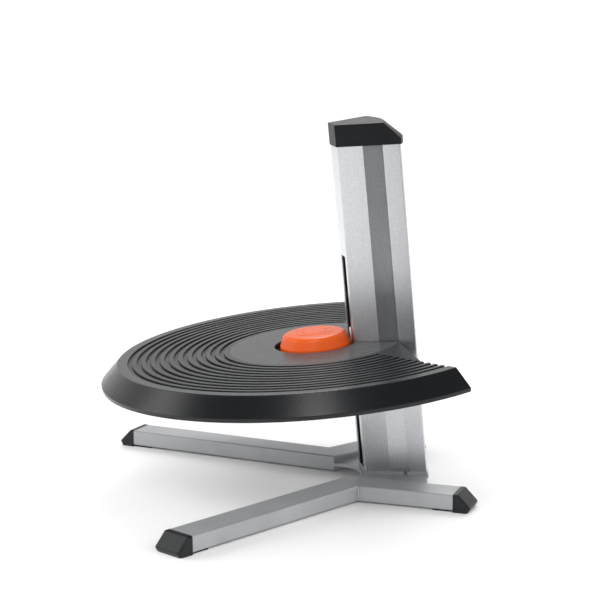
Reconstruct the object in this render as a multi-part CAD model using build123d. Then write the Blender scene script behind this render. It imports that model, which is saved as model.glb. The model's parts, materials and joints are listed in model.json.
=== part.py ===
"""Foot platform that slides up and down a leaning column on a four-legged base.

Row frame: origin on the floor at the centre of the object's box, +Z up, the user sits at -Y,
and X = 0 is the plane of symmetry.

Most pieces are drawn in the column's frame and then leaned over: its origin is the middle of
the platform's top face, x is sideways, y runs rearward along the platform and z up the column.
"""
from build123d import *
from math import atan, cos, degrees, hypot, radians, sin, sqrt, tan
import os

# ---- Base legs -------------------------------------------------------------------------------
TUBE_WIDTH = 40.0
TUBE_HEIGHT = 20.0
TUBE_WALL = 2.0
TUBE_CORNER = 2.5
TUBE_BOTTOM = 2.0            # gap between the tubes and the floor
JUNCTION_X = 92.6            # outer corner where a front and a rear leg meet
JUNCTION_Y = 81.167
FRONT_LEG_ANGLE = 36.1       # outward from straight ahead
REAR_LEG_ANGLE = 30.0        # outward from straight back
FRONT_LEG_LENGTH = 276.0     # along the outer face
REAR_LEG_LENGTH = 119.5
WELD_SIZE = 3.2

# ---- Foot caps -------------------------------------------------------------------------------
CAP_PROUD = 0.4
CAP_LAND = 6.0               # flat top beyond the tube end
CAP_REACH = 22.0             # toe beyond the tube end
TOE_HEIGHT = 6.0
TOE_UNDERCUT = 4.0
CAP_EDGE = 3.0
PLUG_LENGTH = 22.0
PLUG_GAP = 0.15
TONGUE_LENGTH = 26.0         # pad that runs back under the tube

# ---- Lean and platform place -----------------------------------------------------------------
LEAN = 5.25                  # degrees, top of the column towards the user
PLATFORM_Y = JUNCTION_Y - 35.7
PLATFORM_Z = 182.1

# ---- Column section, in the column's frame ---------------------------------------------------
FRONT_Y = 45.2
FRONT_HALF = 20.0
REAR_Y = 116.0
REAR_HALF = 60.0
REAR_BOW = 8.0
GROOVE_START = 74.0
GROOVE_END = 96.0
GROOVE_DEPTH = 5.2
GROOVE_WALL = 2.6            # behind the band
SIDE_WALL = 5.0
FRONT_WALL = 3.5
REAR_WALL = 3.5
COLUMN_BOTTOM = -168.0
COLUMN_TOP = 244.0
SLOT_HALF = 11.2
SLOT_BOTTOM = -165.0
SLOT_TOP = 106.0
LIP_WIDTH = 4.7              # plastic strips that narrow the slot
RAIL_Y = 60.0                # guide rails inside the column
RAIL_DEPTH = 3.0
RAIL_HALF = 10.0             # half of the clear way between the rails
PORT_CENTRES = ((44.0, 108.5, 6.5), (22.0, 68.0, 5.5))   # x, y, boss radius of the screw ports
PORT_BORE = 2.6

# ---- Column cap and foot ---------------------------------------------------------------------
COLUMN_CAP_HEIGHT = 27.0
COLUMN_CAP_PROUD = 1.0
COLUMN_CAP_WALL = 3.0
COLUMN_CAP_BOW = 12.0        # its back is rounder than the column's
SLOPE_RUN = 21.6             # the cap's back slopes down and rearward, with the same bow
SLOPE_DROP = 20.0
TAB_DEPTH = 14.0             # tabs that hold the cap in the column
TAB_THICKNESS = 2.6
TAB_Y = 84.0
TAB_INSET = 7.9              # from the column's side to the middle of a tab
FOOT_PLATE = 4.0
NOTCH_Y = 91.0               # small notch in the foot plate beside each band
NOTCH_WIDTH = 4.5
NOTCH_DEPTH = 6.0
BASE_PLATE = 4.0
PLATE_ARC_DEPTH = 24.5
PLATE_REAR_SLANT = 15.0      # degrees forward, from the column's rear corners out to the legs
BOLT_RADIUS = 2.5
BOLT_HEAD_RADIUS = 5.0
BOLT_HEAD = 5.0

# ---- Platform --------------------------------------------------------------------------------
CENTRE_RADIUS = 108.7        # smooth centre plate
LAND_RADIUS = 248.9          # outer edge of the flat top
RIM_RADIUS = 270.8
RIM_DROP = 21.5
LIP_RADIUS = 270.1
SKIRT_DROP = 26.2
RIM_ROUNDING = 1.6
TOP_THICKNESS = 7.0
SKIN = 3.5
SECTOR = 120.0               # the ribbed fan ends this far from straight ahead
WEB_REAR_Y = 95.0            # straight rear edge of the web beside the column
GROOVE_COUNT = 11
GROOVE_PITCH = 11.5
LAST_GROOVE = 232.9
GROOVE_WIDTH = 5.4           # between the straight walls
RIDGE_ROUNDING = 0.9
TREAD_DEPTH = 2.6
CENTRE_PLATE = 3.0
COLUMN_GAP = 2.4
BUTTON_HOLE = 51.5
RIB_ANGLES = (20, 40, 60, 100)
RIB_THICKNESS = 3.0
RIB_BOTTOM = -19.0
RING_RIBS = (150.0, 203.0)

# ---- Platform support ------------------------------------------------------------------------
HUB_TOP = -41.0
HUB_THICKNESS = 6.0
HUB_RADIUS = 88.0
ARM_TOP = -10.0
ARM_WIDTH = 26.0
ARM_WALL = 2.0
ARM_START = 63.0
ARM_END = 226.0
ARM_ANGLES = {"front": 0.0, "left": 80.0, "right": -80.0}
ARM_SCREW_REACHES = (120.0, 214.0)
ARM_SCREW_TIP = -3.6
SCREW_ACCESS = 5.0           # radius of the holes a screwdriver passes through
ARM_TAPER = 14.0             # degrees, underside of the outer end
TAPER_LENGTH = 60.0
PAD_START = 160.0
PAD_END = 196.0
NECK_HALF = 5.5
NECK_BOTTOM = -68.0
NECK_BOLT_HEIGHTS = (-61.0, -51.0)

# ---- Carriage inside the column --------------------------------------------------------------
TRAVEL = 90.0                # up and down from the drawn place
PLATE_Y = 51.0
PLATE_DEPTH = 7.0
PLATE_HALF = 14.0
SHELF_Z = 150.0
SHELF_THICKNESS = 8.0
SHELF_END = 98.0
SHELF_FLANGE = 9.0
WINDOW_HALF = 6.0
WINDOW_BOTTOM = -42.0
WINDOW_TOP = -28.0
KEY_TOP = 14.0
SHOE_GAP = 0.3
SHOE_HALF = 15.8
UPPER_SHOE = (104.0, 144.0)  # lowest and highest points
LOWER_SHOE = (-66.0, -30.0)

# ---- Gas spring ------------------------------------------------------------------------------
SPRING_Y = 85.0
CYLINDER_RADIUS = 14.0
CYLINDER_WALL = 1.5
CYLINDER_BOTTOM = -156.0
CYLINDER_TOP = 50.0
HEAD_HEIGHT = 8.0
ROD_RADIUS = 5.0
ROD_THREAD = 4.0
PISTON_BOTTOM = -57.0
PISTON_HEIGHT = 8.0
PIN_RADIUS = 2.0
NUT_HEIGHT = 3.5             # thin nut that locks the rod to the carriage's shelf

# ---- Foot button and release -----------------------------------------------------------------
BUTTON_RADIUS = 44.2
BUTTON_TOP_RADIUS = 39.0
BUTTON_HEIGHT = 14.0
BUTTON_CROWN = 2.4
BUTTON_ROUNDING = 7.0
BUTTON_RINGS = (16.0, 24.0)  # radii of two shallow rings in its face
RING_ROUNDING = 1.5
RING_DEPTH = 0.5
BUTTON_WALL = 2.6
BUTTON_SKIRT = 9.0
BUTTON_TRAVEL = 6.0
STEM_RADIUS = 7.5
STEM_CLEARANCE = 0.08
HOUSING_RADIUS = 50.0
HOUSING_FLANGE = 60.0
HOUSING_WALL = 2.5
HOUSING_FLOOR = -29.5
HOUSING_SCREW_RADIUS = 55.8
HOUSING_SCREW_ANGLES = (35.0, -35.0, 90.0, -90.0)
HOUSING_SCREW_TIP = -4.1
YOKE_TOP = -31.0
YOKE_THICKNESS = 3.0
YOKE_HALF = 4.5
RELEASE_Y = 64.5
RELEASE_RADIUS = 3.0
FINGER_THICKNESS = 6.0
SPRING_COIL_RADIUS = 16.0
SPRING_WIRE = 1.6

LEANING = Pos(0, PLATFORM_Y, PLATFORM_Z) * Rot(LEAN, 0, 0)
SIDES = {"left": -1, "right": 1}


# ---- Small helpers ---------------------------------------------------------------------------
def block(x0, x1, y0, y1, z0, z1):
    """Box between two corners."""
    return Pos((x0 + x1) / 2, (y0 + y1) / 2, (z0 + z1) / 2) * Box(x1 - x0, y1 - y0, z1 - z0)


def rod(x, y, z0, z1, radius):
    """Upright cylinder from z0 to z1."""
    return Pos(x, y, (z0 + z1) / 2) * Cylinder(radius, z1 - z0)


def prism(points, z0, z1):
    """Upright prism on a closed outline of points."""
    face = make_face(Polyline(*points, close=True))
    return extrude(Pos(0, 0, z0) * face, z1 - z0, dir=(0, 0, 1))


def lathe(*profile):
    """Solid of revolution about Z from a closed outline of (radius, height) points."""
    face = make_face(Polyline(*profile, close=True))
    return revolve(Plane.XZ * face, Axis.Z)


def polar(radius, angle):
    """Point at an angle from straight ahead (-y), positive towards -x."""
    a = radians(angle)
    return (-radius * sin(a), -radius * cos(a))


# ---- Base ------------------------------------------------------------------------------------
def leg_directions(side, end):
    """Direction along a leg, and the direction from its outer face to its inner one."""
    angle = radians(FRONT_LEG_ANGLE if end == "front" else REAR_LEG_ANGLE)
    forward = -1 if end == "front" else 1
    along = Vector(side * sin(angle), forward * cos(angle))
    inward = Vector(-side * cos(angle), forward * sin(angle))
    return along, inward


def mitre_point(side, inset):
    """Where the faces of the two legs on one side meet, inset from their outer faces."""
    corner = Vector(side * JUNCTION_X, JUNCTION_Y)
    inward_front = leg_directions(side, "front")[1]
    inward_rear = leg_directions(side, "rear")[1]
    return corner + (inward_front + inward_rear) * (inset / (1 + inward_front.dot(inward_rear)))


def leg_end(side, end, inset, extra=0.0):
    """Point on the end of a leg, inset from its outer face."""
    along, inward = leg_directions(side, end)
    length = FRONT_LEG_LENGTH if end == "front" else REAR_LEG_LENGTH
    return Vector(side * JUNCTION_X, JUNCTION_Y) + along * (length + extra) + inward * inset


def leg_prism(side, end, inset, extra, z0, z1):
    """Mitred leg outline, inset all round and extruded."""
    far = TUBE_WIDTH - inset
    outline = [mitre_point(side, inset), leg_end(side, end, inset, extra),
               leg_end(side, end, far, extra), mitre_point(side, far)]
    return prism([(p.X, p.Y) for p in outline], z0, z1)


def leg_tube(side, end):
    top = TUBE_BOTTOM + TUBE_HEIGHT
    along = leg_directions(side, end)[0]
    outside = leg_prism(side, end, 0, 0, TUBE_BOTTOM, top)
    long_edges = [e for e in outside.edges() if abs(abs((e % 0.5).dot(along)) - 1) < 1e-6]
    outside = fillet(long_edges, TUBE_CORNER)
    inside = leg_prism(side, end, TUBE_WALL, 1, TUBE_BOTTOM + TUBE_WALL, top - TUBE_WALL)
    return outside - inside


def leg_frame(side, end):
    """Plane on the floor at the tube's end, with x along the leg."""
    middle = leg_end(side, end, TUBE_WIDTH / 2)
    along = leg_directions(side, end)[0]
    return Plane(origin=(middle.X, middle.Y, 0), x_dir=along, z_dir=(0, 0, 1))


def foot_cap(side, end):
    """Sloped end cap with a plug in the tube and a pad that runs back under it."""
    half = TUBE_WIDTH / 2 + CAP_PROUD
    top = TUBE_BOTTOM + TUBE_HEIGHT + CAP_PROUD
    profile = make_face(Polyline((0, 0), (CAP_REACH - TOE_UNDERCUT, 0), (CAP_REACH, TOE_HEIGHT),
                                 (CAP_LAND, top), (0, top), close=True))
    wedge = extrude(Plane.XZ * profile, half, both=True)
    rounded = [e for e in wedge.edges() if (e @ 0.5).X > 0.5 and (e @ 0.5).Z > 0.5]
    wedge = fillet(rounded, CAP_EDGE)
    plug_half = TUBE_WIDTH / 2 - TUBE_WALL - PLUG_GAP
    floor = TUBE_BOTTOM + TUBE_WALL + PLUG_GAP
    roof = TUBE_BOTTOM + TUBE_HEIGHT - TUBE_WALL - PLUG_GAP
    plug = block(-PLUG_LENGTH, 0, -plug_half, plug_half, floor, roof)
    plug -= block(-PLUG_LENGTH - 1, -3, 3 - plug_half, plug_half - 3, floor + 2.5, roof - 2.5)
    tongue = block(-TONGUE_LENGTH, 0, -half + 3, half - 3, 0, TUBE_BOTTOM)
    return leg_frame(side, end) * (wedge + plug + tongue)


def leg_weld(side):
    """Weld bead up the outer corner where a front and a rear leg meet."""
    front, rear = leg_directions(side, "front")[0], leg_directions(side, "rear")[0]
    corner = Vector(side * JUNCTION_X, JUNCTION_Y)
    a, b = corner + front * WELD_SIZE, corner + rear * WELD_SIZE
    mid = corner + (front + rear) * (WELD_SIZE * 0.36)
    face = make_face([Line(corner, a), ThreePointArc(a, mid, b), Line(b, corner)])
    low = TUBE_BOTTOM + TUBE_CORNER
    return extrude(Pos(0, 0, low) * face, TUBE_HEIGHT - 2 * TUBE_CORNER, dir=(0, 0, 1))


def base_plate():
    """Plate welded between the four legs, square to the column, with a curved front edge."""
    corner = mitre_point(1, TUBE_WIDTH)
    rear = PLATFORM_Y + REAR_Y * cos(radians(LEAN)) - foot_level() * sin(radians(LEAN))
    splay, slant = tan(radians(REAR_LEG_ANGLE)), tan(radians(PLATE_REAR_SLANT))
    reach = (corner.X + (rear - corner.Y) * splay - REAR_HALF) / (1 + slant * splay)
    right = [(corner.X, corner.Y), (REAR_HALF + reach, rear - reach * slant), (REAR_HALF, rear)]
    left = [(-x, y) for x, y in reversed(right)]
    outline = make_face([
        Polyline(*right, *left),
        ThreePointArc(left[-1], (0, corner.Y + PLATE_ARC_DEPTH), right[0])])
    upright = extrude(outline, TUBE_HEIGHT * 3, dir=(0, 0, 1))
    slab = block(-200, 200, -200, 300, foot_level() - BASE_PLATE, foot_level())
    plate = upright & (LEANING * slab)
    rounding = outline_prism(COLUMN_CAP_PROUD, foot_level() - BASE_PLATE, foot_level())
    plate = plate + LEANING * rounding
    for x, y, _ in bolt_places():
        plate -= LEANING * rod(x, y, foot_level() - 10, foot_level() + 1, BOLT_RADIUS + 0.4)
    return plate - LEANING * rod(0, SPRING_Y, foot_level() - 10, foot_level() + 1, ROD_RADIUS + 0.3)


def foot_level():
    """Height of the base plate's top face in the column's frame."""
    return COLUMN_BOTTOM - FOOT_PLATE


def bolt_places():
    return [(side * x, y, r) for side in (-1, 1) for x, y, r in PORT_CENTRES]


# ---- Column ----------------------------------------------------------------------------------
def side_slope():
    """Sideways growth of the column for each millimetre rearward."""
    return (REAR_HALF - FRONT_HALF) / (REAR_Y - FRONT_Y)


def side_x(y):
    return FRONT_HALF + (y - FRONT_Y) * side_slope()


def side_normal():
    """Unit vector into the column from its +x side."""
    length = hypot(1, side_slope())
    return Vector(-1 / length, side_slope() / length)


def column_outline():
    """Outer section: a wedge with a shallow band pressed into each side and a bowed back."""
    right = [(FRONT_HALF, FRONT_Y), below_side(GROOVE_START, 0), below_side(GROOVE_END, GROOVE_DEPTH),
             below_side(GROOVE_END, 0), (REAR_HALF, REAR_Y)]
    left = [(-x, y) for x, y in reversed(right)]
    sides = Polyline(*left, *right)
    back = ThreePointArc(right[-1], (0, REAR_Y + REAR_BOW), left[0])
    return make_face([sides, back])


def outline_face(grow, bow=REAR_BOW):
    """The column's wedge without its bands, grown evenly by a margin."""
    right = [(FRONT_HALF, FRONT_Y), (REAR_HALF, REAR_Y)]
    left = [(-x, y) for x, y in reversed(right)]
    face = make_face([Polyline(*left, *right), ThreePointArc(right[-1], (0, REAR_Y + bow), left[0])])
    return offset(face, grow, kind=Kind.INTERSECTION) if grow else face


def outline_prism(grow, z0, z1, bow=REAR_BOW):
    return extrude(Pos(0, 0, z0) * outline_face(grow, bow), z1 - z0, dir=(0, 0, 1))


def below_side(y, depth):
    """Point at a depth under the column's +x side."""
    point = Vector(side_x(y), y) + side_normal() * depth
    return (point.X, point.Y)


def column_cavity():
    """Inner section, left open for the carriage, with guide rails and screw ports standing in it."""
    shift = SIDE_WALL * hypot(1, side_slope())
    front, rear = FRONT_Y + FRONT_WALL, REAR_Y - REAR_WALL
    slope_start = GROOVE_START + (GROOVE_END - GROOVE_START) * (SIDE_WALL - GROOVE_WALL) / GROOVE_DEPTH
    deepest = GROOVE_DEPTH + GROOVE_WALL
    right = [(side_x(front) - shift, front), below_side(slope_start, SIDE_WALL),
             below_side(GROOVE_END, deepest), below_side(GROOVE_END + GROOVE_WALL, deepest),
             below_side(GROOVE_END + GROOVE_WALL, SIDE_WALL), (side_x(rear) - shift, rear)]
    left = [(-x, y) for x, y in reversed(right)]
    cavity = make_face([Polyline(*left, *right),
                        ThreePointArc(right[-1], (0, REAR_Y + REAR_BOW - REAR_WALL), left[0])])
    for side in (-1, 1):
        rail_middle = side * (RAIL_HALF + 20)
        cavity -= Pos(rail_middle, RAIL_Y + RAIL_DEPTH / 2) * Rectangle(40, RAIL_DEPTH)
        for x, y, boss in PORT_CENTRES:
            cavity -= Pos(side * x, y) * Circle(boss)
    return cavity


def column():
    section = column_outline() - column_cavity()
    for x, y, _ in bolt_places():
        section -= Pos(x, y) * Circle(PORT_BORE)
    height = COLUMN_TOP - COLUMN_BOTTOM
    body = extrude(Pos(0, 0, COLUMN_BOTTOM) * section, height, dir=(0, 0, 1))
    corners = [e for e in body.edges().filter_by(Axis.Z)
               if abs((e @ 0.5).Y - FRONT_Y) < 0.01 or abs((e @ 0.5).Y - REAR_Y) < 0.01]
    body = fillet(corners, 1.6)
    slot = block(-SLOT_HALF, SLOT_HALF, FRONT_Y - 1, FRONT_Y + FRONT_WALL + 1, SLOT_BOTTOM, SLOT_TOP)
    return LEANING * (body - slot)


def slot_lip(side):
    """Plastic strip that lines one edge of the column's slot."""
    inner = SLOT_HALF - LIP_WIDTH
    x0, x1 = sorted((side * inner, side * SLOT_HALF))
    return LEANING * block(x0, x1, FRONT_Y + 0.4, FRONT_Y + FRONT_WALL, SLOT_BOTTOM, SLOT_TOP)


def column_cap():
    """Hollow cap over the column's top, sloping down at the back, held by three tabs."""
    top = COLUMN_TOP + COLUMN_CAP_HEIGHT
    shell = outline_prism(COLUMN_CAP_PROUD, COLUMN_TOP, top, COLUMN_CAP_BOW)
    shell -= behind_slope(COLUMN_CAP_PROUD, top)
    shell = fillet(shell.edges().filter_by(lambda e: (e @ 0.5).Z > COLUMN_TOP + 1), 1.2)
    cavity = outline_prism(-COLUMN_CAP_WALL, COLUMN_TOP, top - COLUMN_CAP_WALL)
    shell -= cavity - behind_slope(COLUMN_CAP_PROUD - COLUMN_CAP_WALL * sqrt(2), top)
    inner_back = REAR_Y + REAR_BOW - REAR_WALL
    tabs = block(-12, 12, inner_back - 3, inner_back - 0.9, COLUMN_TOP - TAB_DEPTH, COLUMN_TOP + 6)
    tabs += block(-12, 12, inner_back - 3, inner_back + 1, COLUMN_TOP, COLUMN_TOP + 6)
    height = TAB_DEPTH + COLUMN_CAP_HEIGHT - COLUMN_CAP_WALL + 1
    for side in (-1, 1):
        x, y = below_side(TAB_Y, TAB_INSET)
        tab = Pos(side * x, y, COLUMN_TOP - TAB_DEPTH + height / 2)
        turned = Rot(0, 0, -side * degrees(atan(side_slope())))
        tabs += tab * turned * Box(TAB_THICKNESS, 14, height)
    return LEANING * (shell + tabs)


def behind_slope(grow, top):
    """Everything behind the cap's sloping back, whose curve is its own rear face moved forward."""
    bow_radius = (REAR_HALF ** 2 + COLUMN_CAP_BOW ** 2) / (2 * COLUMN_CAP_BOW)
    centre = REAR_Y + COLUMN_CAP_BOW - bow_radius - SLOPE_RUN
    disc = Pos(0, centre) * Circle(bow_radius + grow)
    region = Pos(0, centre + bow_radius) * Rectangle(REAR_HALF * 3, bow_radius) - disc
    reach = 2 * hypot(SLOPE_RUN, SLOPE_DROP)
    return extrude(Pos(0, 0, top) * region, reach, dir=(0, SLOPE_RUN, -SLOPE_DROP))


def column_foot():
    """Plate between the column and the base plate, with a small notch beside each band."""
    plate = outline_prism(0, foot_level(), COLUMN_BOTTOM)
    for side in (-1, 1):
        plate -= Pos(side * side_x(NOTCH_Y), NOTCH_Y, COLUMN_BOTTOM - FOOT_PLATE / 2) * Box(
            NOTCH_DEPTH * 2, NOTCH_WIDTH, FOOT_PLATE + 1)
    for x, y, _ in bolt_places():
        plate -= rod(x, y, foot_level() - 1, COLUMN_BOTTOM + 1, BOLT_RADIUS + 0.4)
    return LEANING * (plate - rod(0, SPRING_Y, foot_level() - 1, COLUMN_BOTTOM + 1, ROD_RADIUS + 0.3))


def base_bolt(x, y):
    under = foot_level() - BASE_PLATE
    shank = rod(x, y, under, COLUMN_BOTTOM + 14, BOLT_RADIUS)
    head = rod(x, y, under - BOLT_HEAD, under, BOLT_HEAD_RADIUS)
    socket = Pos(x, y, under - BOLT_HEAD) * extrude(RegularPolygon(2.5, 6), 2.6, dir=(0, 0, 1))
    return LEANING * (shank + head - socket)


# ---- Platform --------------------------------------------------------------------------------
def fan_face(radius, inset):
    """Plan of the platform: a fan, plus the web with its straight rear edge."""
    x, y = polar(radius * 2, SECTOR)
    back = inset / cos(radians(SECTOR - 90))
    fan = make_face(Polyline((0, -back), (x, y - back), (x, -y), (-x, -y), (-x, y - back), close=True))
    reach = WEB_REAR_Y - inset
    web = Pos(0, (reach - radius) / 2) * Rectangle(radius * 2, reach + radius)
    return Circle(radius) & (fan + web)


def platform_shell():
    """Ribbed tread with a sloping rim, hollow below, with stiffening ribs."""
    profile = make_face(Polyline((0, 0), (LAND_RADIUS, 0), (RIM_RADIUS, -RIM_DROP), (LIP_RADIUS, -SKIRT_DROP),
                                 (0, -SKIRT_DROP), close=True))
    edges = profile.vertices().filter_by(lambda v: v.X > 1 and v.Y > -SKIRT_DROP + 1)
    outer = revolve(Plane.XZ * fillet(edges, RIM_ROUNDING), Axis.Z)
    outer &= extrude(Pos(0, 0, -SKIRT_DROP) * fan_face(RIM_RADIUS + 1, 0), SKIRT_DROP, dir=(0, 0, 1))
    ceiling = LAND_RADIUS + 2.1
    inner = lathe((0, -TOP_THICKNESS), (ceiling, -TOP_THICKNESS), (RIM_RADIUS - 4.5, -RIM_DROP - 0.5),
                  (RIM_RADIUS - 4.5, -SKIRT_DROP - 1), (0, -SKIRT_DROP - 1))
    inner &= extrude(Pos(0, 0, -SKIRT_DROP - 1) * fan_face(RIM_RADIUS, SKIN), SKIRT_DROP, dir=(0, 0, 1))
    collar = outline_prism(COLUMN_GAP + RIB_THICKNESS, -SKIRT_DROP, -1)
    inside = extrude(Pos(0, 0, -SKIRT_DROP) * fan_face(RIM_RADIUS - 2, 1), SKIRT_DROP, dir=(0, 0, 1))
    shell = outer - inner + (collar & inside) + (stiffeners() & inside & outer)
    shell -= tread_grooves() & extrude(Pos(0, 0, -5) * fan_sector(), 6, dir=(0, 0, 1))
    shell -= rod(0, 0, -CENTRE_PLATE, 1, CENTRE_RADIUS)
    for x, y in [polar(reach, angle) for angle, reach in arm_screw_places()]:
        shell -= rod(x, y, -TOP_THICKNESS - 5, ARM_SCREW_TIP + 0.1, 2.05)
    for x, y in [polar(HOUSING_SCREW_RADIUS, angle) for angle in HOUSING_SCREW_ANGLES]:
        shell -= rod(x, y, -TOP_THICKNESS - 1, HOUSING_SCREW_TIP + 0.1, 1.65)
    shell -= rod(0, 0, -SKIRT_DROP - 1, 1, BUTTON_HOLE)
    return LEANING * (shell - outline_prism(COLUMN_GAP, -SKIRT_DROP - 1, 1))


def fan_sector():
    """The part of the plan that carries the ribbed tread."""
    left, right = polar(400, SECTOR), polar(400, -SECTOR)
    return make_face(Polyline((0, 0), left, (left[0], -400), (right[0], -400), right, close=True))


def tread_grooves():
    """Rings to cut away between the tread's ridges, flared so that the ridges are rounded."""
    wall, flare = GROOVE_WIDTH / 2, GROOVE_WIDTH / 2 + RIDGE_ROUNDING
    bend = RIDGE_ROUNDING * (1 - sqrt(0.5))
    rings = []
    for k in range(GROOVE_COUNT):
        r = LAST_GROOVE - GROOVE_PITCH * k
        half = [(r + wall, -TREAD_DEPTH), (r + wall, -RIDGE_ROUNDING), (r + wall + bend, -bend),
                (r + flare, 0)]
        mirrored = [(2 * r - x, z) for x, z in half]
        face = make_face([
            Line(mirrored[0], half[0]), Line(half[0], half[1]), ThreePointArc(*half[1:]),
            Polyline(half[3], (r + flare, 1), (r - flare, 1), mirrored[3]),
            ThreePointArc(*reversed(mirrored[1:])), Line(mirrored[1], mirrored[0])])
        rings.append(revolve(Plane.XZ * face, Axis.Z))
    return Part() + rings


def stiffeners():
    """Radial ribs, two shallow ring ribs and the screw bosses under the tread."""
    half = RIB_THICKNESS / 2
    bar = block(-half, half, -RIM_RADIUS, -HOUSING_FLANGE - 6, RIB_BOTTOM, -TOP_THICKNESS)
    ribs = Part() + [Rot(0, 0, side * angle) * bar for angle in RIB_ANGLES for side in (-1, 1)]
    for r in RING_RIBS:
        ring = rod(0, 0, ARM_TOP, -TOP_THICKNESS, r + half)
        ribs += ring - rod(0, 0, ARM_TOP, -TOP_THICKNESS, r - half)
    for x, y in [polar(reach, angle) for angle, reach in arm_screw_places()]:
        ribs += rod(x, y, ARM_TOP, -TOP_THICKNESS, 6)
    return ribs


def centre_plate():
    """Smooth plate round the button, let into the tread."""
    disc = rod(0, 0, -CENTRE_PLATE, 0, CENTRE_RADIUS - 0.35)
    disc -= rod(0, 0, -CENTRE_PLATE - 1, 1, BUTTON_HOLE)
    disc -= block(-200, 200, WEB_REAR_Y, 300, -10, 10)
    return LEANING * (disc - outline_prism(COLUMN_GAP, -CENTRE_PLATE - 1, 1))


def support_arm(angle):
    """Box-section arm from the hub out under the tread."""
    low = HUB_TOP
    half = ARM_WIDTH / 2
    tube = block(-half, half, -ARM_END, -ARM_START, low, ARM_TOP)
    tube -= block(ARM_WALL - half, half - ARM_WALL, -ARM_END - 1, -ARM_START + 1, low + ARM_WALL,
                  ARM_TOP - ARM_WALL)
    cut = block(-half - 1, half + 1, -ARM_END - 30, -ARM_END + TAPER_LENGTH, low - 40, low)
    hinge = Pos(0, TAPER_LENGTH - ARM_END, low)
    tube -= hinge * Rot(-ARM_TAPER, 0, 0) * Pos(0, ARM_END - TAPER_LENGTH, -low) * cut
    for reach in ARM_SCREW_REACHES:
        tube -= rod(0, -reach, low - 1, ARM_TOP - ARM_WALL - 1, SCREW_ACCESS)
        tube -= rod(0, -reach, ARM_TOP - 5, ARM_TOP + 1, 2.2)
    return LEANING * Rot(0, 0, angle) * tube


def arm_screw_places():
    return [(angle, reach) for angle in ARM_ANGLES.values() for reach in ARM_SCREW_REACHES]


def arm_pad(angle):
    """Rubber pad between an arm and the tread."""
    half = ARM_WIDTH / 2 - 1
    return LEANING * Rot(0, 0, angle) * block(-half, half, -PAD_END, -PAD_START, ARM_TOP, -TOP_THICKNESS)


def arm_screw(angle, reach):
    """Screw from inside an arm up into the tread."""
    under = ARM_TOP - ARM_WALL
    return LEANING * Rot(0, 0, angle) * (
        rod(0, -reach, under - 3, under, 4) + rod(0, -reach, under, ARM_SCREW_TIP, 2.0))


def support_bracket():
    """Hub plate under the button with the neck that runs through the slot to the carriage."""
    hub_low = HUB_TOP - HUB_THICKNESS
    hub = rod(0, 0, hub_low, HUB_TOP, HUB_RADIUS)
    hub -= outline_prism(2.0, hub_low - 1, HUB_TOP + 1)
    hub -= block(-200, 200, 64, 300, hub_low - 1, HUB_TOP + 1)
    hub -= rod(0, 0, hub_low - 1, HUB_TOP + 1, 9)
    neck = block(-NECK_HALF, NECK_HALF, 12, PLATE_Y, NECK_BOTTOM, hub_low)
    neck += block(-NECK_HALF, NECK_HALF, 40, PLATE_Y, hub_low, WINDOW_BOTTOM - 1)
    slope = Pos(0, 12, NECK_BOTTOM) * Rot(32, 0, 0) * block(-20, 20, -40, 40, -40, 0)
    neck -= slope
    for z in NECK_BOLT_HEIGHTS:
        neck -= Pos(0, 39, z) * Rot(90, 0, 0) * Cylinder(3.0, 26)
    return LEANING * (hub + neck)


# ---- Carriage --------------------------------------------------------------------------------
def carriage_frame():
    """Upright plate between the guide rails, with the shelf that holds the gas spring's rod."""
    plate = block(-PLATE_HALF, PLATE_HALF, PLATE_Y, PLATE_Y + PLATE_DEPTH, NECK_BOTTOM,
                  SHELF_Z + SHELF_THICKNESS)
    plate -= block(-WINDOW_HALF, WINDOW_HALF, PLATE_Y - 1, PLATE_Y + PLATE_DEPTH + 1, WINDOW_BOTTOM,
                   WINDOW_TOP)
    shelf_half = RAIL_HALF - 0.6
    shelf_top = SHELF_Z + SHELF_THICKNESS
    shelf = block(-shelf_half, shelf_half, PLATE_Y + PLATE_DEPTH, SHELF_END, SHELF_Z, shelf_top)
    for side in (-1, 1):
        x0, x1 = sorted((side * 7.2, side * shelf_half))
        shelf += block(x0, x1, PLATE_Y, SHELF_END, shelf_top, shelf_top + SHELF_FLANGE)
    frame = plate + shelf
    frame -= rod(0, SPRING_Y, SHELF_Z - 1, shelf_top + 1, ROD_THREAD + 0.1)
    frame -= rod(0, RELEASE_Y, SHELF_Z - 1, shelf_top + 1, RELEASE_RADIUS + 0.6)
    for z in NECK_BOLT_HEIGHTS:
        frame -= Pos(0, PLATE_Y + PLATE_DEPTH / 2, z) * Rot(90, 0, 0) * Cylinder(3.2, PLATE_DEPTH + 2)
    return LEANING * frame


def slot_key():
    """Plastic key on the carriage that keeps the plate square in the slot."""
    return LEANING * block(-NECK_HALF, NECK_HALF, FRONT_Y + 0.5, PLATE_Y, WINDOW_TOP + 2, KEY_TOP)


def glide_shoe(side, z0, z1):
    """Plastic shoe clipped over the edge of the carriage plate."""
    outside = block(10.6, SHOE_HALF, FRONT_Y + FRONT_WALL + SHOE_GAP, RAIL_Y - SHOE_GAP, z0, z1)
    shoe = outside - block(0, PLATE_HALF, PLATE_Y, PLATE_Y + PLATE_DEPTH, z0 - 1, z1 + 1)
    return LEANING * (shoe if side > 0 else mirror(shoe, Plane.YZ))


def neck_bolt(z):
    """Bolt from behind the carriage plate into the neck."""
    back = PLATE_Y + PLATE_DEPTH
    shank = Pos(0, back - 13, z) * Rot(90, 0, 0) * Cylinder(2.95, 26)
    head = Pos(0, back + 1.5, z) * Rot(90, 0, 0) * Cylinder(4.8, 3)
    return LEANING * (shank + head)


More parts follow.
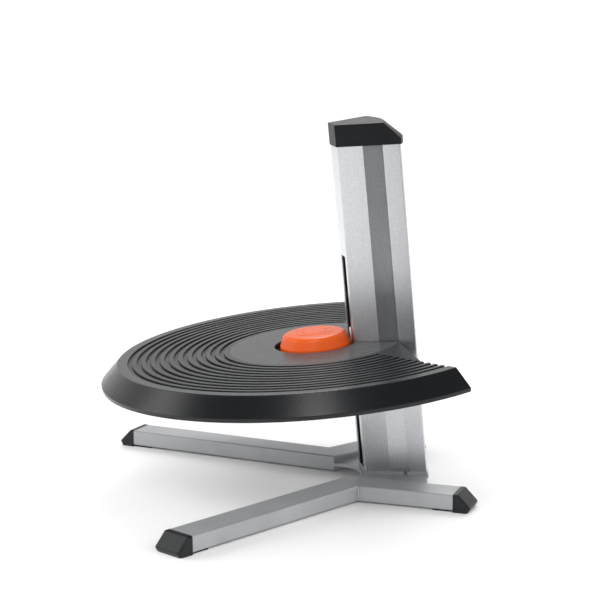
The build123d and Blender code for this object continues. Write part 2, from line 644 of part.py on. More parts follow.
# ---- Gas spring ------------------------------------------------------------------------------
def gas_cylinder():
    """Pressure tube with its fixing stud, standing on the column's foot plate."""
    tube = rod(0, SPRING_Y, CYLINDER_BOTTOM, CYLINDER_TOP, CYLINDER_RADIUS)
    tube -= rod(0, SPRING_Y, CYLINDER_BOTTOM + 3, CYLINDER_TOP + 1, CYLINDER_RADIUS - CYLINDER_WALL)
    tube += rod(0, SPRING_Y, COLUMN_BOTTOM, CYLINDER_BOTTOM, 8.0)
    return LEANING * (tube + rod(0, SPRING_Y, foot_level() - BASE_PLATE - 7, COLUMN_BOTTOM, ROD_RADIUS))


def gas_head():
    """Rod guide that closes the top of the pressure tube."""
    ring = rod(0, SPRING_Y, CYLINDER_TOP - HEAD_HEIGHT, CYLINDER_TOP, CYLINDER_RADIUS - CYLINDER_WALL)
    return LEANING * (ring - rod(0, SPRING_Y, 0, 100, ROD_RADIUS + 0.05))


def base_nut():
    under = foot_level() - BASE_PLATE
    nut = Pos(0, SPRING_Y, under - 6) * extrude(RegularPolygon(9.8, 6), 6, dir=(0, 0, 1))
    return LEANING * (nut - rod(0, SPRING_Y, under - 10, under + 1, ROD_RADIUS + 0.02))


def gas_rod():
    """Piston rod, with a threaded end and a bore for the release pin."""
    end = SHELF_Z + SHELF_THICKNESS + NUT_HEIGHT
    shaft = rod(0, SPRING_Y, PISTON_BOTTOM, SHELF_Z, ROD_RADIUS) + rod(0, SPRING_Y, SHELF_Z, end, ROD_THREAD)
    return LEANING * (shaft - rod(0, SPRING_Y, end - 24, end + 1, PIN_RADIUS + 0.1))


def piston():
    top = PISTON_BOTTOM + PISTON_HEIGHT
    disc = rod(0, SPRING_Y, PISTON_BOTTOM, top, CYLINDER_RADIUS - CYLINDER_WALL - 0.08)
    return LEANING * (disc - rod(0, SPRING_Y, PISTON_BOTTOM - 1, top + 1, ROD_RADIUS))


def rod_nut():
    low = SHELF_Z + SHELF_THICKNESS
    ring = rod(0, SPRING_Y, low, low + NUT_HEIGHT, 6.6)
    return LEANING * (ring - rod(0, SPRING_Y, low - 1, low + NUT_HEIGHT + 1, ROD_THREAD + 0.02))


def stop_buffers():
    """Two rubber blocks on the foot plate that the carriage lands on."""
    buffers = []
    for side in (-1, 1):
        x0, x1 = sorted((side * 7.0, side * 13.0))
        top = NECK_BOTTOM - TRAVEL - 0.5
        buffers.append(LEANING * block(x0, x1, PLATE_Y, PLATE_Y + PLATE_DEPTH, COLUMN_BOTTOM, top))
    return buffers


# ---- Foot button and release -----------------------------------------------------------------
def dome_height(r):
    """Height of the button's spherical face at a radius."""
    sphere = (BUTTON_TOP_RADIUS ** 2 + BUTTON_CROWN ** 2) / (2 * BUTTON_CROWN)
    return BUTTON_HEIGHT + BUTTON_CROWN - sphere + sqrt(sphere ** 2 - r ** 2)


def button_cap():
    """Hollow domed button with two shallow rings on its face."""
    peak, halfway = dome_height(0), BUTTON_TOP_RADIUS / 2
    face = make_face([
        Polyline((BUTTON_RADIUS, -BUTTON_SKIRT), (BUTTON_RADIUS, 0), (BUTTON_TOP_RADIUS, BUTTON_HEIGHT)),
        ThreePointArc((BUTTON_TOP_RADIUS, BUTTON_HEIGHT), (halfway, dome_height(halfway)), (0, peak)),
        Polyline((0, peak), (0, -BUTTON_SKIRT), (BUTTON_RADIUS, -BUTTON_SKIRT))])
    face = fillet([v for v in face.vertices() if abs(v.Y - BUTTON_HEIGHT) < 0.01], BUTTON_ROUNDING)
    for r in BUTTON_RINGS:
        face -= Pos(r, dome_height(r) + RING_ROUNDING - RING_DEPTH) * Circle(RING_ROUNDING)
    ceiling = BUTTON_HEIGHT - BUTTON_WALL - 1
    inside = lathe((0, -BUTTON_SKIRT - 1), (BUTTON_RADIUS - BUTTON_WALL, -BUTTON_SKIRT - 1),
                   (BUTTON_RADIUS - BUTTON_WALL, 0), (BUTTON_TOP_RADIUS - BUTTON_WALL - 1, ceiling),
                   (0, ceiling))
    boss = rod(0, 0, 0, ceiling + 0.5, STEM_RADIUS + 3) - rod(0, 0, -1, ceiling - 0.5, STEM_RADIUS)
    return LEANING * (revolve(Plane.XZ * face, Axis.Z) - inside + boss)


def button_stem():
    ceiling = BUTTON_HEIGHT - BUTTON_WALL - 1
    stem = rod(0, 0, YOKE_TOP, ceiling - 0.5, STEM_RADIUS)
    return LEANING * (stem - rod(0, 0, YOKE_TOP - 1, YOKE_TOP + 12, 2.1))


def stem_clip():
    """Ring under the housing floor that stops the button from lifting out."""
    clip = rod(0, 0, YOKE_TOP, HOUSING_FLOOR - 0.3, STEM_RADIUS + 3)
    return LEANING * (clip - rod(0, 0, YOKE_TOP - 1, HOUSING_FLOOR, STEM_RADIUS))


def button_housing():
    """Cup under the tread that guides the stem, trimmed flat in front of the column."""
    seat = -TOP_THICKNESS
    flange = rod(0, 0, seat - 2.5, seat, HOUSING_FLANGE)
    flange -= outline_prism(COLUMN_GAP + RIB_THICKNESS + 0.3, seat - 3, seat + 1)
    cup = rod(0, 0, HOUSING_FLOOR, seat, HOUSING_RADIUS) + flange
    cup -= rod(0, 0, HOUSING_FLOOR + 3, seat + 1, HOUSING_RADIUS - HOUSING_WALL)
    cup += rod(0, 0, HOUSING_FLOOR, HOUSING_FLOOR + 11, STEM_RADIUS + 3.5)
    cup -= rod(0, 0, HOUSING_FLOOR - 1, 0, STEM_RADIUS + STEM_CLEARANCE)
    cup -= outline_prism(COLUMN_GAP, HOUSING_FLOOR - 1, 1)
    for x, y in [polar(HOUSING_SCREW_RADIUS, angle) for angle in HOUSING_SCREW_ANGLES]:
        cup -= rod(x, y, seat - 4, seat + 1, 1.7)
    return LEANING * cup


def housing_screw(angle):
    x, y = polar(HOUSING_SCREW_RADIUS, angle)
    seat = -TOP_THICKNESS - 2.5
    return LEANING * (rod(x, y, seat - 2, seat, 3.2) + rod(x, y, seat, HOUSING_SCREW_TIP, 1.6))


def return_spring():
    """Coil spring between the housing floor and the button."""
    low = HOUSING_FLOOR + 3 + SPRING_WIRE / 2
    high = BUTTON_HEIGHT - BUTTON_WALL - 1 - SPRING_WIRE / 2
    height = high - low
    path = Helix(pitch=height / 5.5, height=height, radius=SPRING_COIL_RADIUS)
    wire = sweep(Plane(path @ 0, z_dir=path % 0) * Circle(SPRING_WIRE / 2), path=path)
    return LEANING * Pos(0, 0, low) * wire


def release_yoke():
    """Bar under the stem that reaches through the slot and the carriage plate."""
    low = YOKE_TOP - YOKE_THICKNESS
    bar = block(-YOKE_HALF, YOKE_HALF, -9, RELEASE_Y + 4, low, YOKE_TOP)
    return LEANING * (bar - rod(0, 0, low - 1, YOKE_TOP + 1, 2.2))


def yoke_screw():
    low = YOKE_TOP - YOKE_THICKNESS
    return LEANING * (rod(0, 0, low - 2.4, low, 4.0) + rod(0, 0, low, YOKE_TOP + 9, 2.0))


def release_rod():
    return LEANING * rod(0, RELEASE_Y, YOKE_TOP, finger_low(), RELEASE_RADIUS)


def finger_low():
    """Underside of the finger that presses the gas spring's pin."""
    return SHELF_Z + SHELF_THICKNESS + NUT_HEIGHT + BUTTON_TRAVEL + 1.5


def release_finger():
    low = finger_low()
    return LEANING * block(-YOKE_HALF, YOKE_HALF, RELEASE_Y - 5, SPRING_Y + 6, low, low + FINGER_THICKNESS)


def release_pin():
    low = SHELF_Z + SHELF_THICKNESS - 11
    return LEANING * rod(0, SPRING_Y, low, finger_low(), PIN_RADIUS)


# ---- Assembly --------------------------------------------------------------------------------
def build():
    """Every named sub-part; a list holds the separate solids of one node."""
    parts = {}
    for name, side in SIDES.items():
        for end in ("front", "rear"):
            parts[f"leg_tube_{end}_{name}"] = leg_tube(side, end)
            parts[f"foot_cap_{end}_{name}"] = foot_cap(side, end)
        parts[f"slot_lip_{name}"] = slot_lip(side)
        parts[f"glide_shoe_upper_{name}"] = glide_shoe(side, *UPPER_SHOE)
        parts[f"glide_shoe_lower_{name}"] = glide_shoe(side, *LOWER_SHOE)
    parts["leg_welds"] = [leg_weld(side) for side in SIDES.values()]
    parts["base_plate"] = base_plate()
    parts["column_foot"] = column_foot()
    parts["base_bolts"] = [base_bolt(x, y) for x, y, _ in bolt_places()]
    parts["column"] = column()
    parts["column_cap"] = column_cap()
    parts["stop_buffers"] = stop_buffers()
    parts["gas_spring_cylinder"] = gas_cylinder()
    parts["gas_spring_head"] = gas_head()
    parts["gas_spring_nut"] = base_nut()
    parts["gas_spring_rod"] = gas_rod()
    parts["gas_spring_piston"] = piston()
    parts["gas_rod_nut"] = rod_nut()
    parts["carriage_frame"] = carriage_frame()
    parts["slot_key"] = slot_key()
    parts["neck_bolts"] = [neck_bolt(z) for z in NECK_BOLT_HEIGHTS]
    parts["support_bracket"] = support_bracket()
    for name, angle in ARM_ANGLES.items():
        parts[f"support_arm_{name}"] = support_arm(angle)
    parts["arm_pads"] = [arm_pad(angle) for angle in ARM_ANGLES.values()]
    parts["arm_screws"] = [arm_screw(angle, reach) for angle, reach in arm_screw_places()]
    parts["platform_shell"] = platform_shell()
    parts["centre_plate"] = centre_plate()
    parts["button_housing"] = button_housing()
    parts["housing_screws"] = [housing_screw(angle) for angle in HOUSING_SCREW_ANGLES]
    parts["button_cap"] = button_cap()
    parts["button_stem"] = button_stem()
    parts["stem_clip"] = stem_clip()
    parts["button_spring"] = return_spring()
    parts["release_yoke"] = release_yoke()
    parts["yoke_screw"] = yoke_screw()
    parts["release_rod"] = release_rod()
    parts["release_finger"] = release_finger()
    parts["release_pin"] = release_pin()
    return parts


os.makedirs("parts", exist_ok=True)
for node, shape in build().items():
    solids = shape if isinstance(shape, list) else [shape]
    whole = solids[0] if len(solids) == 1 else Compound(children=[s.solid() for s in solids])
    export_step(whole, f"parts/{node}.step")
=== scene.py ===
"""Looks for the height-adjustable foot platform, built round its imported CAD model.

Metres, in the row frame: the floor is z = 0, the user sits at -Y and +X is the side that the
camera sees. The platform and the column lean, so some patterns and pieces are laid out along UP,
the column's direction, from CENTRE, the middle of the platform's top face.
"""
import bpy
import json
from math import cos, pi, radians, sin
from mathutils import Matrix, Vector


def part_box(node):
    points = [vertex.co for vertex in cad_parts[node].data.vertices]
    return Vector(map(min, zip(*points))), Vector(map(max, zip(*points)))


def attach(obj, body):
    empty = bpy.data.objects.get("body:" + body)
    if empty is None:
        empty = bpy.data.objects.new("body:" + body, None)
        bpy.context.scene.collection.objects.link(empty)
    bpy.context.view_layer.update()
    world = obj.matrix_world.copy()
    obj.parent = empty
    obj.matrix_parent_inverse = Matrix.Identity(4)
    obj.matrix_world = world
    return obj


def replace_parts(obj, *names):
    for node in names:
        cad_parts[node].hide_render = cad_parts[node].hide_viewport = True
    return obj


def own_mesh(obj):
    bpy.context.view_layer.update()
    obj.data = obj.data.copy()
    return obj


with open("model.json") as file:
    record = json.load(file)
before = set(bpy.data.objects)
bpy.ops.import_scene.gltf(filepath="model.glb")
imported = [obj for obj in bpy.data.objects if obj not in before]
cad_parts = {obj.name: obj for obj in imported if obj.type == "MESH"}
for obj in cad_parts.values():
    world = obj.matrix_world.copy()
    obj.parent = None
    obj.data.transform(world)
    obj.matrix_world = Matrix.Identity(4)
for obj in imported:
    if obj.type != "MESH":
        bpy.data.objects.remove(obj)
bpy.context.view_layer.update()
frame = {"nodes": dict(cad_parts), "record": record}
nodes = frame["nodes"]
mounts = {mount["name"]: mount for mount in frame["record"]["mounts"]}
UP = Vector(mounts["platform_top"]["axis"]).normalized()
BUTTON_MIDDLE = sum((Vector(corner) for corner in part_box("button_cap")), Vector()) / 2
CENTRE = BUTTON_MIDDLE + UP * (Vector(mounts["platform_top"]["pos_m"]) - BUTTON_MIDDLE).dot(UP)
LEAN = UP.angle(Vector((0, 0, 1)))

# ---- Camera and studio ---------------------------------------------------------------------
CAMERA_AZIMUTH = radians(79.85)
CAMERA_ELEVATION = radians(10.43)
CAMERA_ROLL = radians(-0.08)
CAMERA_DISTANCE = 2.267
CAMERA_TARGET = Vector((0, 0.026, 0.2377))
LENS = 109.3
FLOOR_SIZE = 60.0
HORIZON, LOW_SKY, HIGH_SKY = 1.0, 0.85, 0.1
LOW_SKY_AT, HIGH_SKY_AT = 0.25, 0.75         # heights on the unit sphere of directions
FLAG_NEAR, FLAG_FAR = radians(-6), radians(-41)
FLAG_REACH = 0.8
FLAG_BOTTOM, FLAG_TOP = 0.02, 1.1
SUN_SPREAD = radians(45)


def make_camera():
    """Camera at the photograph's viewing angle."""
    back = Vector((sin(CAMERA_AZIMUTH) * cos(CAMERA_ELEVATION),
                   -cos(CAMERA_AZIMUTH) * cos(CAMERA_ELEVATION), sin(CAMERA_ELEVATION)))
    camera = bpy.data.objects.new("camera", bpy.data.cameras.new("camera"))
    camera.data.lens = LENS
    camera.data.clip_end = 200
    turn = (-back).to_track_quat("-Z", "Y").to_matrix().to_4x4()
    camera.matrix_world = (Matrix.Translation(CAMERA_TARGET + back * CAMERA_DISTANCE) @ turn
                           @ Matrix.Rotation(CAMERA_ROLL, 4, "Z"))
    bpy.context.scene.collection.objects.link(camera)
    bpy.context.scene.camera = camera


def make_world():
    """Studio surroundings: bright round the horizon and dim overhead."""
    world = bpy.data.worlds.new("studio")
    world.use_nodes = True
    tree = world.node_tree
    place = tree.nodes.new("ShaderNodeTexCoord")
    split = tree.nodes.new("ShaderNodeSeparateXYZ")
    height = tree.nodes.new("ShaderNodeValToRGB")
    height.color_ramp.elements[0].position = 0.0
    height.color_ramp.elements[0].color = (HORIZON, HORIZON, HORIZON, 1)
    height.color_ramp.elements[1].position = HIGH_SKY_AT
    height.color_ramp.elements[1].color = (HIGH_SKY, HIGH_SKY, HIGH_SKY, 1)
    middle = height.color_ramp.elements.new(LOW_SKY_AT)
    middle.color = (LOW_SKY, LOW_SKY, LOW_SKY, 1)
    tree.links.new(place.outputs["Generated"], split.inputs[0])
    tree.links.new(split.outputs["Z"], height.inputs["Fac"])
    tree.links.new(height.outputs["Color"], tree.nodes["Background"].inputs["Color"])
    tree.nodes["Background"].inputs["Strength"].default_value = 1.0
    bpy.context.scene.world = world


def stage_sheet(name, corners, color):
    """Flat sheet of the studio, which isn't part of the object."""
    mesh = bpy.data.meshes.new(name)
    mesh.from_pydata(corners, [], [(0, 1, 2, 3)])
    sheet = bpy.data.objects.new(name, mesh)
    bpy.context.scene.collection.objects.link(sheet)
    material = bpy.data.materials.new(name)
    material.use_nodes = True
    shader = material.node_tree.nodes["Principled BSDF"]
    shader.inputs["Base Color"].default_value = (color, color, color, 1)
    shader.inputs["Roughness"].default_value = 0.9
    shader.inputs["Specular IOR Level"].default_value = 0.1
    mesh.materials.append(material)
    return sheet


def make_floor():
    """Plain pale floor that reaches far past the picture."""
    half = FLOOR_SIZE / 2
    stage_sheet("floor", [(-half, -half, 0), (half, -half, 0), (half, half, 0), (-half, half, 0)], 0.9)


def make_flag():
    """Dark card beside the camera that only the column's recessed band mirrors, set out from that band."""
    band = Vector((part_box("column")[1][0] * 0.8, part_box("column_cap")[1][1] * 0.85))
    a, b = (band + Vector((cos(turn), sin(turn))) * FLAG_REACH for turn in (FLAG_NEAR, FLAG_FAR))
    flag = stage_sheet("flag", [(a.x, a.y, FLAG_BOTTOM), (b.x, b.y, FLAG_BOTTOM),
                                (b.x, b.y, FLAG_TOP), (a.x, a.y, FLAG_TOP)], 0.02)
    flag.visible_camera = False
    flag.visible_diffuse = False
    flag.visible_shadow = False
    flag.visible_transmission = False


def make_softbox(name, place, aim, size, power, diffuse=True):
    """Square area light turned towards a point; without diffuse it only shows in glossy surfaces."""
    light = bpy.data.lights.new(name, "AREA")
    light.size = size
    light.energy = power
    lamp = bpy.data.objects.new(name, light)
    lamp.visible_diffuse = diffuse
    direction = Vector(aim) - Vector(place)
    lamp.matrix_world = (Matrix.Translation(place)
                         @ direction.to_track_quat("-Z", "Y").to_matrix().to_4x4())
    bpy.context.scene.collection.objects.link(lamp)


def make_sky_ring(count, elevation, strength):
    """Ring of wide suns that light floor and paint evenly, and don't show in glossy surfaces."""
    for k in range(count):
        around = 2 * pi * (k + 0.5) / count
        light = bpy.data.lights.new(f"sky {k}", "SUN")
        light.energy = strength
        light.angle = SUN_SPREAD
        lamp = bpy.data.objects.new(f"sky {k}", light)
        lamp.visible_glossy = False
        towards = Vector((cos(around) * cos(elevation), sin(around) * cos(elevation), sin(elevation)))
        lamp.matrix_world = towards.to_track_quat("Z", "Y").to_matrix().to_4x4()
        bpy.context.scene.collection.objects.link(lamp)


# ---- Material helpers ----------------------------------------------------------------------
class Finish:
    """A principled material, with short calls for the patterns that feed it."""

    def __init__(self, name, **sockets):
        self.material = bpy.data.materials.new(name)
        self.material.use_nodes = True
        self.tree = self.material.node_tree
        self.shader = self.tree.nodes["Principled BSDF"]
        for socket, value in sockets.items():
            self.shader.inputs[socket.replace("_", " ")].default_value = value

    def add(self, kind, **values):
        node = self.tree.nodes.new("ShaderNode" + kind)
        for name, value in values.items():
            setattr(node, name, value)
        return node

    def place(self, turn=(0, 0, 0), scale=(1, 1, 1)):
        """The piece's own coordinates in metres, turned and stretched."""
        coords, mapping = self.add("TexCoord"), self.add("Mapping")
        mapping.inputs["Rotation"].default_value = turn
        mapping.inputs["Scale"].default_value = scale
        self.tree.links.new(coords.outputs["Object"], mapping.inputs["Vector"])
        return mapping.outputs["Vector"]

    def noise(self, size, detail=3.0, vector=None):
        """Noise with features about size metres across."""
        node = self.add("TexNoise")
        node.inputs["Scale"].default_value = 1 / size
        node.inputs["Detail"].default_value = detail
        self.tree.links.new(vector or self.place(), node.inputs["Vector"])
        return node.outputs["Fac"]

    def height(self):
        """Height above the platform's top face, along the column."""
        node = self.add("VectorMath", operation="DOT_PRODUCT")
        node.inputs[1].default_value = UP
        self.tree.links.new(self.place(), node.inputs[0])
        return self.combine("SUBTRACT", node.outputs["Value"], CENTRE.dot(UP))

    def reach(self):
        """Distance from the button's axis."""
        away = self.add("VectorMath", operation="SUBTRACT")
        across = self.add("VectorMath", operation="CROSS_PRODUCT")
        length = self.add("VectorMath", operation="LENGTH")
        away.inputs[1].default_value = CENTRE
        across.inputs[1].default_value = UP
        self.tree.links.new(self.place(), away.inputs[0])
        self.tree.links.new(away.outputs["Vector"], across.inputs[0])
        self.tree.links.new(across.outputs["Vector"], length.inputs[0])
        return length.outputs["Value"]

    def ramp(self, value, low, high, start=0.3, end=0.7):
        """Maps a pattern to the range from low to high."""
        node = self.add("MapRange")
        for name, number in (("From Min", start), ("From Max", end), ("To Min", low), ("To Max", high)):
            node.inputs[name].default_value = number
        self.tree.links.new(value, node.inputs["Value"])
        return node.outputs["Result"]

    def blend(self, value, first, second):
        """Colour between two, by a pattern; either may be another pattern."""
        node = self.add("Mix", data_type="RGBA")
        for socket, color in (("A", first), ("B", second)):
            if isinstance(color, tuple):
                node.inputs[socket].default_value = (*color, 1)
            else:
                self.tree.links.new(color, node.inputs[socket])
        self.tree.links.new(value, node.inputs["Factor"])
        return node.outputs["Result"]

    def combine(self, operation, first, second):
        """Joins two patterns, or a pattern and a number."""
        node = self.add("Math", operation=operation)
        for socket, value in zip(node.inputs, (first, second)):
            if isinstance(value, (int, float)):
                socket.default_value = value
            else:
                self.tree.links.new(value, socket)
        return node.outputs["Value"]

    def mix(self, first, second, share):
        """Two patterns added, with the second's share."""
        return self.combine("ADD", self.combine("MULTIPLY", first, 1 - share),
                            self.combine("MULTIPLY", second, share))

    def feed(self, **patterns):
        """Links patterns to the shader's sockets."""
        for socket, value in patterns.items():
            self.tree.links.new(value, self.shader.inputs[socket.replace("_", " ")])

    def bump(self, height, depth, strength=1.0):
        """Surface relief of the given depth in metres."""
        node = self.add("Bump")
        node.inputs["Distance"].default_value = depth
        node.inputs["Strength"].default_value = strength
        self.tree.links.new(height, node.inputs["Height"])
        self.tree.links.new(node.outputs["Normal"], self.shader.inputs["Normal"])


def grey(value):
    """Neutral colour, slightly cool."""
    return (value * 0.98, value, value * 1.03)


def cool_black(value):
    """Very dark colour with a slight blue tint."""
    return (value * 0.9, value, value * 1.12)


def family(start):
    """Names of the CAD nodes that begin alike."""
    return [name for name in nodes if name.startswith(start)]


def cover(finish, *names):
    """Gives CAD nodes a finish."""
    for name in names:
        mesh = nodes[name].data
        mesh.materials.clear()
        mesh.materials.append(finish.material)


# ---- Finishes ------------------------------------------------------------------------------
def leg_paint():
    """Silver powder coat: fine metallic speckle over a faint orange peel."""
    finish = Finish("leg paint", Metallic=0.35)
    speckle = finish.noise(0.0009, 2)
    shade = finish.mix(speckle, finish.noise(0.05, 3), 0.4)
    finish.feed(Base_Color=finish.blend(finish.ramp(shade, 0, 1, 0.35, 0.65), grey(0.33), grey(0.42)),
                Roughness=finish.ramp(speckle, 0.36, 0.48))
    finish.bump(finish.noise(0.0022, 2), 0.00004, 0.5)
    return finish


def column_aluminium():
    """Blasted and anodised extrusion: fine grain, soft mottling and barely seen streaks along it."""
    finish = Finish("column aluminium", Metallic=1.0)
    grain = finish.noise(0.0007, 3)
    streaks = finish.noise(0.006, 2, finish.place((-LEAN, 0, 0), (1, 1, 0.02)))
    mottle = finish.noise(0.003, 2)
    shade = finish.mix(finish.mix(grain, streaks, 0.12), mottle, 0.5)
    finish.feed(Base_Color=finish.blend(finish.ramp(shade, 0, 1, 0.35, 0.65), grey(0.58), grey(0.69)),
                Roughness=finish.ramp(shade, 0.3, 0.37))
    finish.bump(grain, 0.00003, 0.5)
    return finish


def moulded_black(name, dark, light, low, high, level):
    """Satin moulded plastic with a fine spark-eroded grain and slight handling marks."""
    finish = Finish(name, Specular_IOR_Level=level)
    grain = finish.noise(0.0006, 3)
    marks = finish.noise(0.03, 5)
    shade = finish.mix(marks, grain, 0.5)
    color = finish.blend(finish.ramp(shade, 0, 1, 0.4, 0.6), cool_black(dark), cool_black(light))
    finish.feed(Base_Color=color,
                Roughness=finish.combine("ADD", finish.ramp(marks, low, high),
                                         finish.ramp(grain, -0.04, 0.04)))
    finish.bump(grain, 0.00004, 0.5)
    return finish


LAND_START = 0.2365          # from the button's axis to the smooth land outside the ridges


def tread_black():
    """Black tread plastic: ridge tops painted lighter and grooves darker, a painted highlight and painted
    shade in blotches, and a glossier land and rim.
    """
    finish = Finish("tread black", Specular_IOR_Level=0.32)
    grain = finish.noise(0.0006, 3)
    marks = finish.noise(0.04, 5)
    # Painted highlight and painted shade: the colour is lighter on the ridge tops and darker down in the
    # grooves, broken into blotches.
    top = finish.ramp(finish.height(), 0, 1, -0.0016, -0.0002)
    blotches = finish.ramp(finish.mix(marks, grain, 0.4), 0.5, 1.0, 0.4, 0.6)
    painted_top_light = finish.combine("MULTIPLY", top, blotches)
    ribbed = finish.ramp(finish.reach(), 1, 0, LAND_START - 0.001, LAND_START + 0.001)
    dull = finish.combine("MULTIPLY", ribbed, 0.11)
    finish.feed(Base_Color=finish.blend(painted_top_light, cool_black(0.007), cool_black(0.015)),
                Roughness=finish.combine("ADD", finish.combine("ADD", 0.26, dull),
                                         finish.ramp(grain, -0.04, 0.04)))
    finish.bump(grain, 0.00004, 0.5)
    return finish


def centre_grey():
    """Smooth dark grey plate, semi-gloss, with fine sweeping scuffs."""
    finish = Finish("centre plate grey", Specular_IOR_Level=0.15)
    grain = finish.noise(0.0005, 2)
    scuffs = finish.noise(0.004, 4, finish.place((0, 0, radians(25)), (1, 0.12, 1)))
    shade = finish.mix(scuffs, grain, 0.4)
    finish.feed(Base_Color=finish.blend(finish.ramp(shade, 0, 1, 0.4, 0.6), grey(0.045), grey(0.06)),
                Roughness=finish.ramp(shade, 0.25, 0.33, 0.4, 0.6))
    finish.bump(grain, 0.00002, 0.4)
    return finish


def button_orange():
    """Semi-gloss orange plastic, its face painted a little paler in patches as a painted highlight."""
    finish = Finish("button orange", Specular_IOR_Level=0.2)
    marks = finish.noise(0.012, 4)
    grain = finish.noise(0.0004, 2)
    # Painted highlight: the face is painted paler than the sides, in patches.
    face = finish.ramp(finish.height(), 0, 1, 0.006, 0.014)
    painted_top_light = finish.combine("MULTIPLY", face, finish.ramp(marks, 0.6, 1))
    finish.feed(Base_Color=finish.blend(painted_top_light, (0.6, 0.075, 0.005), (0.62, 0.09, 0.008)),
                Roughness=finish.combine("ADD", finish.ramp(marks, 0.3, 0.38),
                                         finish.ramp(grain, -0.02, 0.02)))
    finish.bump(grain, 0.00002, 0.4)
    return finish


def plain_metal(name, value, low, high, size=0.0008):
    """Plated, ground or painted steel with faint tool marks."""
    finish = Finish(name, Metallic=1.0)
    marks = finish.noise(size, 3)
    finish.feed(Base_Color=finish.blend(finish.ramp(marks, 0, 1), grey(value * 0.85), grey(value)),
                Roughness=finish.ramp(marks, low, high))
    finish.bump(marks, 0.00001, 0.3)
    return finish


def soft_rubber():
    """Matt black rubber, slightly chalky."""
    finish = Finish("soft rubber", Specular_IOR_Level=0.2)
    chalk = finish.noise(0.0015, 4)
    finish.feed(Base_Color=finish.blend(finish.ramp(chalk, 0, 1), grey(0.015), grey(0.03)),
                Roughness=finish.ramp(chalk, 0.75, 0.9))
    finish.bump(chalk, 0.00005, 0.6)
    return finish


def white_acetal():
    """Slippery natural plastic of the glides and the stem."""
    finish = Finish("white acetal", Specular_IOR_Level=0.4)
    clouds = finish.noise(0.006, 3)
    finish.feed(Base_Color=finish.blend(finish.ramp(clouds, 0, 1), (0.66, 0.65, 0.6), (0.74, 0.73, 0.69)),
                Roughness=finish.ramp(clouds, 0.34, 0.45))
    finish.bump(finish.noise(0.0008, 2), 0.00001, 0.3)
    return finish


# ---- Pieces made here ----------------------------------------------------------------------
def tube_mesh(name, path, radii, sides):
    """Closed tube round a path, with its own radius at each point."""
    points, faces = [], []
    for k, (middle, radius) in enumerate(zip(path, radii)):
        ahead = path[min(k + 1, len(path) - 1)] - path[max(k - 1, 0)]
        across = ahead.cross(UP if abs(ahead.normalized().dot(UP)) < 0.9 else Vector((0, 1, 0))).normalized()
        other = ahead.cross(across).normalized()
        for j in range(sides):
            a = 2 * pi * j / sides
            points.append(middle + across * radius * cos(a) + other * radius * sin(a))
    for k in range(len(path) - 1):
        for j in range(sides):
            a, b = k * sides + j, k * sides + (j + 1) % sides
            faces.append((a, b, b + sides, a + sides))
    last = (len(path) - 1) * sides
    faces.append(tuple(reversed(range(sides))))
    faces.append(tuple(range(last, last + sides)))
    mesh = bpy.data.meshes.new(name)
    mesh.from_pydata(points, [], faces)
    mesh.validate()
    mesh.polygons.foreach_set("use_smooth", [len(f) == 4 for f in faces])
    piece = bpy.data.objects.new(name, mesh)
    bpy.context.scene.collection.objects.link(piece)
    return piece


WELD_RIPPLE = 0.0014
WELD_RADIUS = 0.0021
WELD_STEPS = 84


def weld_bead(side, finish):
    """Rippled weld up the outer corner of two legs."""
    low, high = (Vector(corner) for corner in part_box("leg_welds"))
    x = side * (high.x - WELD_RADIUS * 0.8)
    y = (low.y + high.y) / 2
    heights = [low.z + (high.z - low.z) * k / WELD_STEPS for k in range(WELD_STEPS + 1)]
    path = [Vector((x + side * 0.00012 * sin(z * 4000), y, z)) for z in heights]
    radii = [WELD_RADIUS * (0.86 + 0.14 * abs(sin(pi * z / WELD_RIPPLE))) for z in heights]
    radii[0] *= 0.5
    radii[-1] *= 0.5
    bead = tube_mesh("weld_bead_" + ("right" if side > 0 else "left"), path, radii, 16)
    bead.data.materials.append(finish.material)
    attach(bead, "base")
    return bead


SPRING_TURNS = 5.5
SPRING_WIRE_RADIUS = 0.0008
SPRING_STEPS_PER_TURN = 36


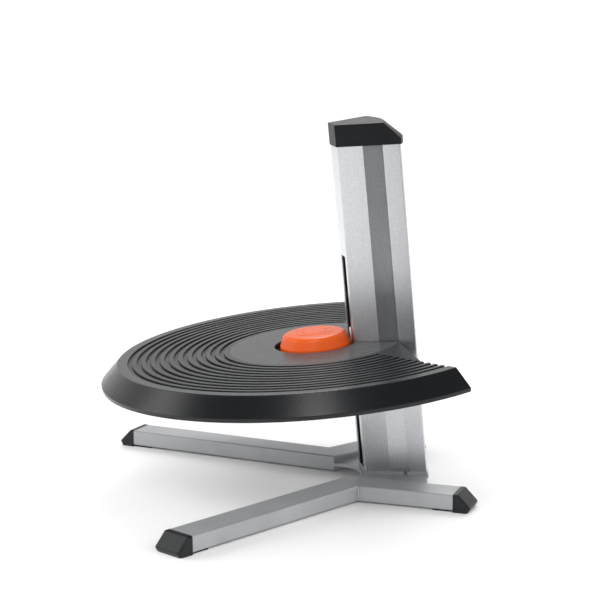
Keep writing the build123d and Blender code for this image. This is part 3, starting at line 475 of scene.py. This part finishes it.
def return_spring(finish):
    """Coil spring under the button, carried with the carriage."""
    low, high = (Vector(corner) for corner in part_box("button_spring"))
    middle = (low + high) / 2
    radius = (high.x - low.x) / 2 - SPRING_WIRE_RADIUS
    full = (high.z - low.z - 2 * (radius + SPRING_WIRE_RADIUS) * sin(LEAN)) / cos(LEAN)
    height = full - 2 * SPRING_WIRE_RADIUS
    forward = UP.cross(Vector((1, 0, 0)))
    count = int(SPRING_TURNS * SPRING_STEPS_PER_TURN)
    path = []
    for k in range(count + 1):
        a = 2 * pi * k / SPRING_STEPS_PER_TURN
        rise = height * (k / count - 0.5)
        path.append(middle + Vector((radius * cos(a), 0, 0)) + forward * radius * sin(a) + UP * rise)
    spring = tube_mesh("return_spring", path, [SPRING_WIRE_RADIUS] * len(path), 10)
    spring.data.materials.append(finish.material)
    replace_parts(spring, "button_spring")
    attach(spring, "carriage")
    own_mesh(spring)


# ---- The scene -----------------------------------------------------------------------------
make_camera()
make_world()
make_floor()
make_flag()
make_sky_ring(8, radians(32), 0.65)
make_softbox("window side", (-0.9, -2.6, 1.5), (0, 0, 0.2), 1.6, 22)
make_softbox("camera side", (1.9, -0.9, 1.9), (0, 0, 0.2), 1.0, 16)
make_softbox("far side", (-1.7, 0.5, 2.1), (0, 0, 0.2), 1.2, 16)
make_softbox("camera glint", (1.22, -0.44, 2.45), (0, 0, 0.2), 0.5, 18, diffuse=False)
make_softbox("far glint", (-2.1, 0.37, 2.5), (0, 0, 0.2), 0.6, 20, diffuse=False)
bpy.context.scene.view_settings.view_transform = "Standard"

paint = leg_paint()
zinc = plain_metal("zinc steel", 0.6, 0.28, 0.4)
black = moulded_black("moulded black", 0.004, 0.008, 0.4, 0.48, 0.17)
cover(paint, "base_plate", "column_foot", *family("leg_tube"))
cover(column_aluminium(), "column")
cover(black, "column_cap", "button_housing", "slot_lip_left", "slot_lip_right")
cover(moulded_black("foot cap black", 0.007, 0.012, 0.36, 0.44, 0.32), *family("foot_cap"))
cover(tread_black(), "platform_shell")
cover(centre_grey(), "centre_plate")
cover(button_orange(), "button_cap")
cover(moulded_black("black powder coat", 0.03, 0.045, 0.4, 0.55, 0.5), "support_bracket", "carriage_frame",
      "gas_spring_cylinder", "release_yoke", "release_finger", *family("support_arm"))
cover(zinc, "base_bolts", "gas_spring_nut", "gas_rod_nut", "gas_spring_head", "gas_spring_piston",
      "neck_bolts", "arm_screws", "housing_screws", "stem_clip", "yoke_screw")
cover(plain_metal("ground chrome", 0.8, 0.08, 0.16, 0.0004), "gas_spring_rod", "release_rod", "release_pin")
cover(soft_rubber(), "stop_buffers", "arm_pads")
cover(white_acetal(), "slot_key", "button_stem", *family("glide_shoe"))
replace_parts(weld_bead(1, paint), "leg_welds")
weld_bead(-1, paint)
return_spring(zinc)
